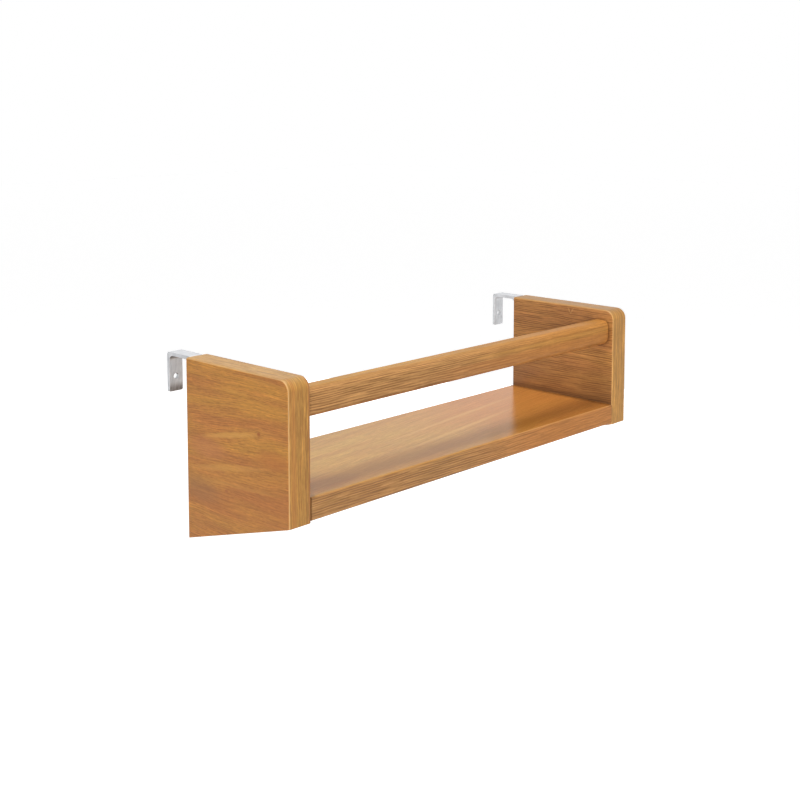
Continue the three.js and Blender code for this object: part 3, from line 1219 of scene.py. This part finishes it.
@dataclass
class Hook:
    """A hook of flat steel strap, bent down at both ends, with two countersunk holes in the leg behind
    the panel and a plain hole for a safety screw in the other."""

    side: Side
    finish: SteelFinish
    strap_thickness: float = 3.5 * MM
    outside_radius: float = 3 * MM
    inside_radius: float = 5 * MM
    leg_corner_radius: float = 1.5 * MM
    safety_hole_diameter: float = 5.5 * MM
    safety_hole_drop: float = 24 * MM
    screw_hole_diameter: float = 4.6 * MM
    screw_head_diameter: float = 8.2 * MM
    screw_head_rim: float = 0.7 * MM
    screw_hole_reach: float = 5 * MM
    edge_round: float = 0.35 * MM

    def build(self) -> None:
        """Makes the hook."""
        node = f"{self.side.word}_hook"
        low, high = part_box(node)
        thick = self.strap_thickness
        outline = [
            (low.y, low.z),
            (low.y, high.z),
            (high.y, high.z),
            (high.y, low.z),
            (high.y - thick, low.z),
            (high.y - thick, high.z - thick),
            (low.y + thick, high.z - thick),
            (low.y + thick, low.z),
        ]
        shape = extruded(outline, low.x, high.x)
        for height, radius in ((high.z, self.outside_radius), (high.z - thick, self.inside_radius)):
            bends = edges_where(
                shape, lambda a, b: near(a.z, height) and near(b.z, height) and not near(a.x, b.x)
            )
            round_edges(shape, bends, radius, segments=10)
        leg_corners = edges_where(
            shape, lambda a, b: near(a.z, low.z) and near(b.z, low.z) and near(a.x, b.x)
        )
        round_edges(shape, leg_corners, self.leg_corner_radius, segments=6)
        shape = cut(shape, self._holes(low, high))
        round_edges(shape, sharp_edges(shape), self.edge_round, segments=3)
        piece = make_piece(node, shape, self.finish)
        note_facing(piece.data)

    def _holes(self, low: Vector, high: Vector) -> Shape:
        """Makes what is cut away for the safety screw and the two countersunk screws.

        Args:
            low: The hook's lowest corner.
            high: Its highest corner.

        Returns:
            The closed shapes to cut away.
        """
        middle = (low.x + high.x) / 2
        height = high.z - self.safety_hole_drop
        tool = bmesh.new()
        start = Vector((middle, high.y - 2 * self.strap_thickness, height))
        end = Vector((middle, high.y + self.strap_thickness, height))
        add_rod(tool, start, end, self.safety_hole_diameter / 2)
        hole, mouth, rim = self.screw_hole_diameter / 2, self.screw_head_diameter / 2, self.screw_head_rim
        profile = [
            (0, -self.screw_hole_reach),
            (hole, -self.screw_hole_reach),
            (hole, hole - mouth - rim),
            (mouth, -rim),
            (mouth, MM),
            (0, MM),
        ]
        for row in ("upper", "lower"):
            screw_low, screw_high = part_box(f"{self.side.word}_hook_{row}_screw")
            place = Vector((middle, 0, (screw_low.z + screw_high.z) / 2))
            countersink = bpy.data.meshes.new("countersink")
            aim(turned(profile), Axis.Y.vector, place).to_mesh(countersink)
            tool.from_mesh(countersink)
            bpy.data.meshes.remove(countersink)
        return tool


@dataclass
class HookScrew:
    """A countersunk wood screw with a cross recess, which holds a hook to a panel's back."""

    side: Side
    row: str
    finish: SteelFinish
    diameter: float = 4 * MM
    head_diameter: float = 7.6 * MM
    head_rim: float = 0.4 * MM
    length: float = 20 * MM
    tip_length: float = 4 * MM
    tip_diameter: float = 1 * MM
    plain_length: float = 7 * MM
    thread_pitch: float = 1.8 * MM
    thread_depth: float = 0.6 * MM
    recess_width: float = 1 * MM
    recess_length: float = 4 * MM
    recess_depth: float = 1.6 * MM
    edge_chamfer: float = 0.12 * MM

    def build(self) -> None:
        """Makes the screw, with its head level with the hook's leg."""
        node = f"{self.side.word}_hook_{self.row}_screw"
        low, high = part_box(node)
        shank, head, tip = self.diameter / 2, self.head_diameter / 2, self.tip_diameter / 2
        edge = self.edge_chamfer
        profile = [
            (0, -self.length),
            (tip, edge - self.length),
            (shank, self.tip_length - self.length),
            (shank, shank - head - self.head_rim),
            (head, -self.head_rim),
            (head, -edge),
            (head - edge, 0),
            (0, 0),
        ]
        fine = self.thread_pitch / THREAD_STEPS
        shape = turned(stepped(profile, edge - self.length, -self.plain_length, fine), sides=40)
        cut_thread(shape, -self.length, -self.plain_length, self.thread_pitch, self.thread_depth)
        shape = cut(shape, cross_recess(self.recess_width, self.recess_length, self.recess_depth))
        middle = (low + high) / 2
        head_middle = Vector((middle.x, high.y, middle.z))
        make_piece(node, aim(shape, Axis.Y.vector, head_middle), self.finish)


@dataclass
class CamBolt:
    """A bolt that screws into a panel, with a neck and a head that the cam in the board grips."""

    side: Side
    row: str
    finish: SteelFinish
    diameter: float = 6 * MM
    screw_length: float = 11 * MM
    taper: float = 1 * MM
    neck_diameter: float = 3.6 * MM
    neck_start: float = 15.9 * MM
    head_start: float = 22 * MM
    head_end: float = 26 * MM
    collar_width: float = 0.8 * MM
    collar_height: float = 0.4 * MM
    collar_overlap: float = 0.2 * MM
    thread_pitch: float = 2 * MM
    thread_depth: float = 0.8 * MM
    recess_width: float = 0.8 * MM
    recess_length: float = 3 * MM
    recess_depth: float = 1.2 * MM

    def build(self) -> None:
        """Makes the bolt, which points from the panel into the board."""
        node = f"{self.side.word}_{self.row}_cam_bolt"
        low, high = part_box(node)
        radius, neck, taper = self.diameter / 2, self.neck_diameter / 2, self.taper
        collar, step, overlap = self.collar_width, self.collar_height, self.collar_overlap
        waist = radius - step
        profile = [
            (0, -self.screw_length),
            (radius - taper, -self.screw_length),
            (radius, taper - self.screw_length),
            (radius, -overlap),
            (radius, collar),
            (waist, collar + step),
            (waist, self.neck_start - taper - step),
            (radius, self.neck_start - taper),
            (neck, self.neck_start),
            (neck, self.head_start),
            (radius, self.head_start + taper),
            (radius, self.head_end - taper),
            (radius - taper, self.head_end),
            (0, self.head_end),
        ]
        fine = self.thread_pitch / THREAD_STEPS
        shape = turned(stepped(profile, taper - self.screw_length, -overlap, fine), sides=40)
        cut_thread(shape, -self.screw_length, -overlap, self.thread_pitch, self.thread_depth)
        recess = cross_recess(self.recess_width, self.recess_length, self.recess_depth)
        shape = cut(shape, aim(recess, Axis.Z.vector, Vector((0, 0, self.head_end))))
        panel_face = low.x + self.screw_length if self.side is Side.LEFT else high.x - self.screw_length
        middle = (low + high) / 2
        place = Vector((panel_face, middle.y, middle.z))
        make_piece(node, aim(shape, self.side.inwards, place), self.finish)


@dataclass
class Cam:
    """A cast cam in the board's underside, with room for the bolt's head and neck and a driver's cross."""

    side: Side
    row: str
    finish: SteelFinish
    rim_round: float = 0.3 * MM
    rim_width: float = 0.8 * MM
    face_recess: float = 0.3 * MM
    hub_radius: float = 3.4 * MM
    head_room: float = 7.2 * MM
    head_room_length: float = 5.2 * MM
    neck_room: float = 4.8 * MM
    slot_length: float = 11 * MM
    slot_width: float = 2 * MM
    slot_depth: float = 2.5 * MM
    slot_taper: float = 0.7

    def build(self) -> None:
        """Makes the cam, with its face in the board's underside."""
        node = f"{self.side.word}_{self.row}_cam"
        low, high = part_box(node)
        radius = (high.x - low.x) / 2
        height = high.z - low.z
        edge, inner = self.rim_round, radius - self.rim_width
        step = self.face_recess
        profile = [
            (0, -height),
            (radius - edge, -height),
            (radius, edge - height),
            (radius, -edge),
            (radius - edge, 0),
            (inner, 0),
            (inner - step, -step),
            (self.hub_radius + step, -step),
            (self.hub_radius, 0),
            (0, 0),
        ]
        middle = (low + high) / 2
        face = Vector((middle.x, middle.y, low.z))
        drum = aim(turned(profile, sides=64), -Axis.Z.vector, face)
        drum = cut(drum, self._bolt_room(middle, radius))
        slots = cross_recess(self.slot_width, self.slot_length, self.slot_depth, self.slot_taper)
        make_piece(node, cut(drum, aim(slots, -Axis.Z.vector, face)), self.finish)

    def _bolt_room(self, middle: Vector, radius: float) -> Shape:
        """Makes what is cut away for the bolt's head, its way in and its neck.

        Args:
            middle: The middle of the cam.
            radius: The cam's radius.

        Returns:
            The overlapping blocks to cut away.
        """
        board_low, board_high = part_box("shelf_board")
        axis = Vector((middle.x, middle.y, (board_low.z + board_high.z) / 2))
        reach = radius + MM
        head, neck = self.head_room, self.neck_room
        tool = bmesh.new()
        add_block(tool, axis, Vector((self.head_room_length, head, head)))
        add_block(tool, axis + Vector((0, reach / 2, 0)), Vector((head, reach, head)))
        neck_place = Vector((self.side.value * reach / 2, (reach - neck) / 2, 0))
        add_block(tool, axis + neck_place, Vector((reach, reach, neck)))
        return tool


@dataclass
class Dowel:
    """A fluted beech dowel that crosses a joint between a panel and the board or the rail."""

    node: str
    finish: WoodFinish
    chamfer: float = 0.8 * MM
    flutes: int = 16
    flute_depth: float = 0.3 * MM

    def build(self) -> None:
        """Makes the dowel."""
        low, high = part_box(self.node)
        radius, half = (high.z - low.z) / 2, (high.x - low.x) / 2
        profile = [
            (0, -half),
            (radius - self.chamfer, -half),
            (radius, self.chamfer - half),
            (radius, half - self.chamfer),
            (radius - self.chamfer, half),
            (0, half),
        ]
        shape = turned(profile, sides=6 * self.flutes)
        cut_flutes(shape, self.flutes, self.flute_depth)
        make_piece(self.node, aim(shape, Axis.X.vector, (low + high) / 2), self.finish)


@dataclass(frozen=True)
class Lamp:
    """A square soft lamp that faces the shelf. Its level is the light that it gives a white surface, and
    reflected says whether shiny surfaces mirror it."""

    name: str
    place: tuple[float, float, float]
    size: float
    level: float
    reflected: bool = True

    def hang(self) -> None:
        """Hangs the lamp in the scene."""
        low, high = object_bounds()
        place = Vector(self.place)
        to_shelf = (low + high) / 2 - place
        data = bpy.data.lights.new(self.name, "AREA")
        data.size = self.size
        # A white surface that faces the lamp from the shelf's middle gets its level from this energy.
        data.energy = self.level * math.pi**2 * to_shelf.length_squared
        lamp = bpy.data.objects.new(self.name, data)
        lamp.location = place
        lamp.rotation_euler = to_shelf.to_track_quat("-Z", "Y").to_euler()
        lamp.visible_glossy = self.reflected
        bpy.context.scene.collection.objects.link(lamp)


@dataclass
class Studio:
    """A white room with soft lamps, and the camera."""

    camera_place: Vector
    camera_turn: float
    camera_drop: float
    focal_pixels: float
    shift: float
    lamps: tuple[Lamp, ...]
    sensor_width: float = 36.0
    floor_drop: float = 1.0
    floor_size: float = 30.0
    floor_grey: float = 0.6
    floor_glow: float = 0.8
    ambient: float = 0.22

    def build(self) -> None:
        """Builds the floor, the world, the lamps and the camera."""
        self._floor()
        self._world()
        for lamp in self.lamps:
            lamp.hang()
        self._camera()
        bpy.context.scene.view_settings.view_transform = "Standard"

    def _seen_directly(self, nodes: bpy.types.Nodes, links: bpy.types.NodeLinks) -> Socket:
        """Makes a factor that is 1 for what the camera, a reflection or glass sees.

        Args:
            nodes: The tree's nodes.
            links: Its links.

        Returns:
            The factor.
        """
        path = nodes.new("ShaderNodeLightPath")
        total = path.outputs["Is Camera Ray"]
        for name in ("Is Glossy Ray", "Is Transmission Ray"):
            larger = nodes.new("ShaderNodeMath")
            larger.operation = "MAXIMUM"
            links.new(total, larger.inputs[0])
            links.new(path.outputs[name], larger.inputs[1])
            total = larger.outputs[0]
        return total

    def _world(self) -> None:
        """Makes a world that looks white and lights the shelf from all round."""
        world = bpy.data.worlds.new("white_room")
        world.use_nodes = True
        nodes, links = world.node_tree.nodes, world.node_tree.links
        background = nodes["Background"]
        strength = nodes.new("ShaderNodeMapRange")
        strength.inputs["To Min"].default_value = self.ambient
        strength.inputs["To Max"].default_value = 1.0
        links.new(self._seen_directly(nodes, links), strength.inputs["Value"])
        links.new(strength.outputs[0], background.inputs["Strength"])
        background.inputs["Color"].default_value = (1, 1, 1, 1)
        bpy.context.scene.world = world

    def _floor(self) -> None:
        """Makes a pale floor well below the shelf."""
        shape = bmesh.new()
        level = Matrix.Translation((0, 0, -self.floor_drop))
        bmesh.ops.create_grid(shape, x_segments=1, y_segments=1, size=self.floor_size / 2, matrix=level)
        mesh = bpy.data.meshes.new("floor")
        shape.to_mesh(mesh)
        shape.free()
        sheet = NodeSheet("pale_floor")
        seen = self._seen_directly(sheet.nodes, sheet.links)
        mesh.materials.append(
            sheet.finish(
                Base_Color=(self.floor_grey, self.floor_grey, self.floor_grey, 1.0),
                Roughness=0.9,
                Emission_Color=(1.0, 1.0, 1.0, 1.0),
                Emission_Strength=sheet.times(seen, self.floor_glow),
            )
        )
        floor = bpy.data.objects.new("floor", mesh)
        bpy.context.scene.collection.objects.link(floor)
        floor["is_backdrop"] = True

    def _camera(self) -> None:
        """Sets up the camera."""
        data = bpy.data.cameras.new("camera")
        data.sensor_width = self.sensor_width
        data.lens = self.focal_pixels * self.sensor_width / PICTURE_WIDTH
        data.shift_y = self.shift
        camera = bpy.data.objects.new("camera", data)
        camera.location = self.camera_place
        camera.rotation_euler = (math.radians(90 - self.camera_drop), 0, -math.radians(self.camera_turn))
        bpy.context.scene.collection.objects.link(camera)
        bpy.context.scene.camera = camera


@dataclass(frozen=True)
class Finishes:
    """What each kind of piece is made of."""

    left_panel: WoodFinish = WoodFinish(
        "left_panel_wood",
        "panel_wood",
        GrainSource.ROUND_THE_PANEL,
        seed=1.0,
        golden=paint(189, 131, 54),
        russet=paint(176, 112, 51),
        olive=paint(170, 116, 54),
        dark=paint(126, 70, 32),
        band=paint(170, 124, 61),
        top_band=paint(182, 140, 74),
        arris_highlight=paint(218, 176, 126),
        strokes=Strokes(length=8.0, spacing=2.0, strength=0.34, cover=0.5),
        contrast=1.35,
        slants=(0.0, -0.08, 0.0),
        waviness=3.0,
        knot=(100.0, -52.5),
        marks=(
            Mark(60.0, -225.0, RIM, 2000.0, 8.0, paint(152, 92, 50), 0.6, wobble=0.6),
            Mark(100.0, -244.5, RIM, 300.0, 7.0, paint(180, 118, 58), 0.5, wobble=0.6),
            Mark(80.0, -116.0, LEFT_OUTER_FACE, 300.0, 90.0, paint(170, 104, 56), 0.3),
            Mark(30.0, -78.0, LEFT_OUTER_FACE, 70.0, 26.0, paint(182, 114, 68), 0.55),
            Mark(122.0, -72.0, LEFT_OUTER_FACE, 60.0, 22.0, paint(172, 102, 46), 0.6),
            Mark(20.0, -118.0, LEFT_OUTER_FACE, 70.0, 30.0, paint(140, 98, 60), 0.4),
            Mark(62.0, -60.5, LEFT_OUTER_FACE, 96.0, 7.0, paint(212, 156, 76), 0.65, 0.19),
            Mark(57.0, -91.0, LEFT_OUTER_FACE, 125.0, 8.0, paint(208, 152, 74), 0.45, 0.17),
            Mark(70.0, -105.0, LEFT_OUTER_FACE, 140.0, 5.0, paint(206, 150, 72), 0.3, 0.06),
            Mark(66.0, -20.5, LEFT_OUTER_FACE, 60.0, 4.0, paint(206, 150, 66), 0.35),
            Mark(110.0, -6.5, LEFT_OUTER_FACE, 70.0, 6.0, paint(206, 150, 66), 0.35, -0.03),
            Mark(101.0, -52.5, LEFT_OUTER_FACE, 6.0, 4.0, paint(146, 74, 34), 0.7, 0.2),
            Mark(56.0, -112.0, LEFT_OUTER_FACE, 7.0, 3.0, paint(146, 76, 46), 0.5),
        ),
    )
    right_panel: WoodFinish = WoodFinish(
        "right_panel_wood",
        "panel_wood",
        GrainSource.ROUND_THE_PANEL,
        seed=2.0,
        golden=paint(184, 131, 71),
        russet=paint(176, 121, 68),
        olive=paint(168, 121, 68),
        band=paint(178, 128, 59),
        top_band=paint(158, 113, 50),
        arris_highlight=paint(214, 168, 112),
        strokes=Strokes(length=30.0, spacing=2.1, strength=0.62, cover=0.9),
        band_strokes=Strokes(length=16.0, spacing=2.3, strength=0.22, cover=0.6),
        contrast=1.4,
        marks=(
            Mark(80.4, -6.5, RIGHT_INNER_FACE, 6.0, 4.0, paint(204, 154, 94), 0.45, -1.3, wobble=0.4),
            Mark(84.0, -6.5, RIGHT_INNER_FACE, 6.0, 4.0, paint(204, 154, 94), 0.45, 1.3, wobble=0.4),
            Mark(82.2, -6.0, RIGHT_INNER_FACE, 2.4, 7.0, paint(112, 68, 36), 0.4, wobble=0.3),
            # Painted shade: the inner face darkens towards the board, most just above it, and round the
            # rail's end.
            Mark(70.0, -96.0, RIGHT_INNER_FACE, 420.0, 90.0, paint(104, 70, 44), 0.4, wobble=0.0),
            Mark(70.0, -106.0, RIGHT_INNER_FACE, 420.0, 20.0, CORNER_SHADE, 0.45, wobble=0.0),
            Mark(123.5, -25.0, RIGHT_INNER_FACE, 31.0, 38.0, CORNER_SHADE, 1.0, wobble=0.0),
        ),
    )
    board: WoodFinish = WoodFinish(
        "board_wood",
        "board_wood",
        GrainSource.ROUND_THE_SECTION,
        seed=3.0,
        golden=paint(192, 147, 69),
        russet=paint(186, 135, 65),
        olive=paint(181, 139, 69),
        dark=paint(102, 64, 42),
        band=paint(172, 125, 79),
        arris_highlight=paint(214, 162, 100),
        far=paint(190, 120, 55),
        strokes=Strokes(length=14.0, spacing=2.2, strength=0.25, cover=0.7),
        band_strokes=Strokes(length=36.0, spacing=2.1, strength=0.6, cover=1.0),
        front_zone=(-142.4, -143.4),
        fading=(-60.0, 140.0),
        contrast=0.8,
        waviness=2.5,
        slants=(-0.13, -0.13, -0.13),
        marks=(
            Mark(30.0, -89.0, BOARD_TOP, 260.0, 8.0, paint(218, 172, 92), 0.38, 0.145),
            Mark(62.0, -54.0, BOARD_TOP, 300.0, 7.0, paint(218, 172, 92), 0.34, 0.133),
            # Painted shadow: the next two marks give the rail's shadow across the top a warmer tone and
            # darken its front-left corner.
            Mark(-80.0, -123.0, BOARD_TOP, 500.0, 54.0, paint(190, 123, 28), 0.55, wobble=0.0),
            Mark(-205.0, -124.0, BOARD_TOP, 130.0, 50.0, paint(130, 70, 40), 0.3, wobble=0.0),
            *at_both_ends(Mark(226.0, -73.0, BOARD_TOP, 20.0, 500.0, CORNER_SHADE, 0.5, wobble=0.0)),
            *at_both_ends(Mark(225.0, -143.5, -112.0, 2.4, 8.0, CORNER_SHADE, 0.6, reach=11.0, wobble=0.0)),
            Mark(165.0, -143.5, -112.0, 180.0, 8.0, paint(160, 108, 54), 0.22, reach=11.0, wobble=0.0),
        ),
        roughness=0.19,
        specular=0.16,
    )
    rail: WoodFinish = WoodFinish(
        "rail_wood",
        "rail_wood",
        GrainSource.ROUND_THE_SECTION,
        seed=4.0,
        golden=paint(189, 141, 75),
        russet=paint(178, 127, 69),
        dark=paint(100, 62, 40),
        band=paint(181, 134, 85),
        far=paint(178, 120, 56),
        strokes=Strokes(length=20.0, spacing=3.0, strength=0.2, cover=0.5),
        band_strokes=Strokes(length=36.0, spacing=2.1, strength=0.56, cover=1.0),
        front_zone=(-131.0, -137.0),
        fading=(-60.0, 160.0),
        waviness=1.5,
        marks=(
            # Painted light: an orange tone on the lower rounding for the light bounced up from the board.
            Mark(0.0, -139.0, -34.0, 2000.0, 24.0, paint(180, 104, 44), 0.56, wobble=0.0),
            Mark(110.0, -137.5, -26.0, 400.0, 14.0, paint(180, 114, 66), 0.35, reach=5.0, wobble=0.0),
            # Painted highlight: a pale line along the upper front of the rail's right part.
            Mark(120.0, -137.5, -16.5, 300.0, 12.0, paint(208, 154, 80), 0.35, reach=1.0, wobble=0.0),
            *at_both_ends(Mark(225.0, -137.5, -21.0, 4.0, 30.0, CORNER_SHADE, 0.6, reach=14.0, wobble=0.0)),
        ),
        roughness=0.45,
        specular=0.1,
    )
    dowel: WoodFinish = WoodFinish(
        "dowel_beech",
        "dowel_beech",
        GrainSource.SOLID,
        seed=5.0,
        golden=paint(222, 192, 148),
        russet=paint(208, 172, 128),
        olive=paint(202, 174, 130),
        dark=paint(150, 106, 66),
        strokes=Strokes(length=3.0, spacing=0.6, strength=0.4, cover=0.3),
        waviness=1.0,
        roughness=0.7,
        specular=0.3,
    )
    left_strap: SteelFinish = SteelFinish(
        "left_strap_steel",
        "galvanised_steel",
        paint(214, 215, 217),
        paint(190, 191, 194),
        roughness=0.5,
        metallic=0.52,
        painted_foot_shade=1.0,
        painted_bend_shade=0.8,
    )
    right_strap: SteelFinish = SteelFinish(
        "right_strap_steel",
        "galvanised_steel",
        paint(218, 219, 221),
        paint(192, 193, 196),
        roughness=0.45,
        painted_bend_shade=0.25,
    )
    screw: SteelFinish = SteelFinish(
        "screw_steel",
        "screw_steel",
        paint(212, 211, 205),
        paint(178, 175, 164),
        roughness=0.28,
        crystal=0.9 * MM,
        brushing=1.2 * MM,
    )
    cam: SteelFinish = SteelFinish(
        "cam_zinc",
        "cam_zinc",
        paint(182, 183, 186),
        paint(142, 143, 147),
        roughness=0.45,
        crystal=1.1 * MM,
        brushing=1.1 * MM,
    )


def build_side(side: Side, finishes: Finishes) -> None:
    """Builds what there is once on each side of the shelf.

    Args:
        side: The side.
        finishes: What the pieces are made of.
    """
    SidePanel(side, finishes.left_panel if side is Side.LEFT else finishes.right_panel).build()
    Hook(side, finishes.left_strap if side is Side.LEFT else finishes.right_strap).build()
    Dowel(f"{side.word}_board_dowel", finishes.dowel).build()
    for row in ("upper", "lower"):
        HookScrew(side, row, finishes.screw).build()
        Dowel(f"{side.word}_rail_{row}_dowel", finishes.dowel).build()
    for row in ("front", "back"):
        CamBolt(side, row, finishes.screw).build()
        Cam(side, row, finishes.cam).build()


def main() -> None:
    """Builds the shelf and the studio."""
    logging.basicConfig(level=logging.INFO, format="%(message)s")
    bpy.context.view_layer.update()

    lamps = (
        Lamp("top_lamp", (-0.1, -0.26, 1.9), size=0.92, level=0.82),
        Lamp("key_lamp", (-3.4, -3.8, 0.5), size=2.6, level=0.87, reflected=False),
        Lamp("fill_lamp", (3.4, 2.2, -0.1), size=2.6, level=0.4, reflected=False),
    )
    studio = Studio(
        camera_place=Vector((-936.0, -927.7, 242.0)) * MM,
        camera_turn=46.30,
        camera_drop=5.51,
        focal_pixels=1269.0,
        shift=-0.23,
        lamps=lamps,
    )
    studio.build()

    finishes = Finishes()
    ShelfBoard(finishes.board).build()
    FrontRail(finishes.rail).build()
    for side in Side:
        build_side(side, finishes)


if __name__ == "__main__":
    main()
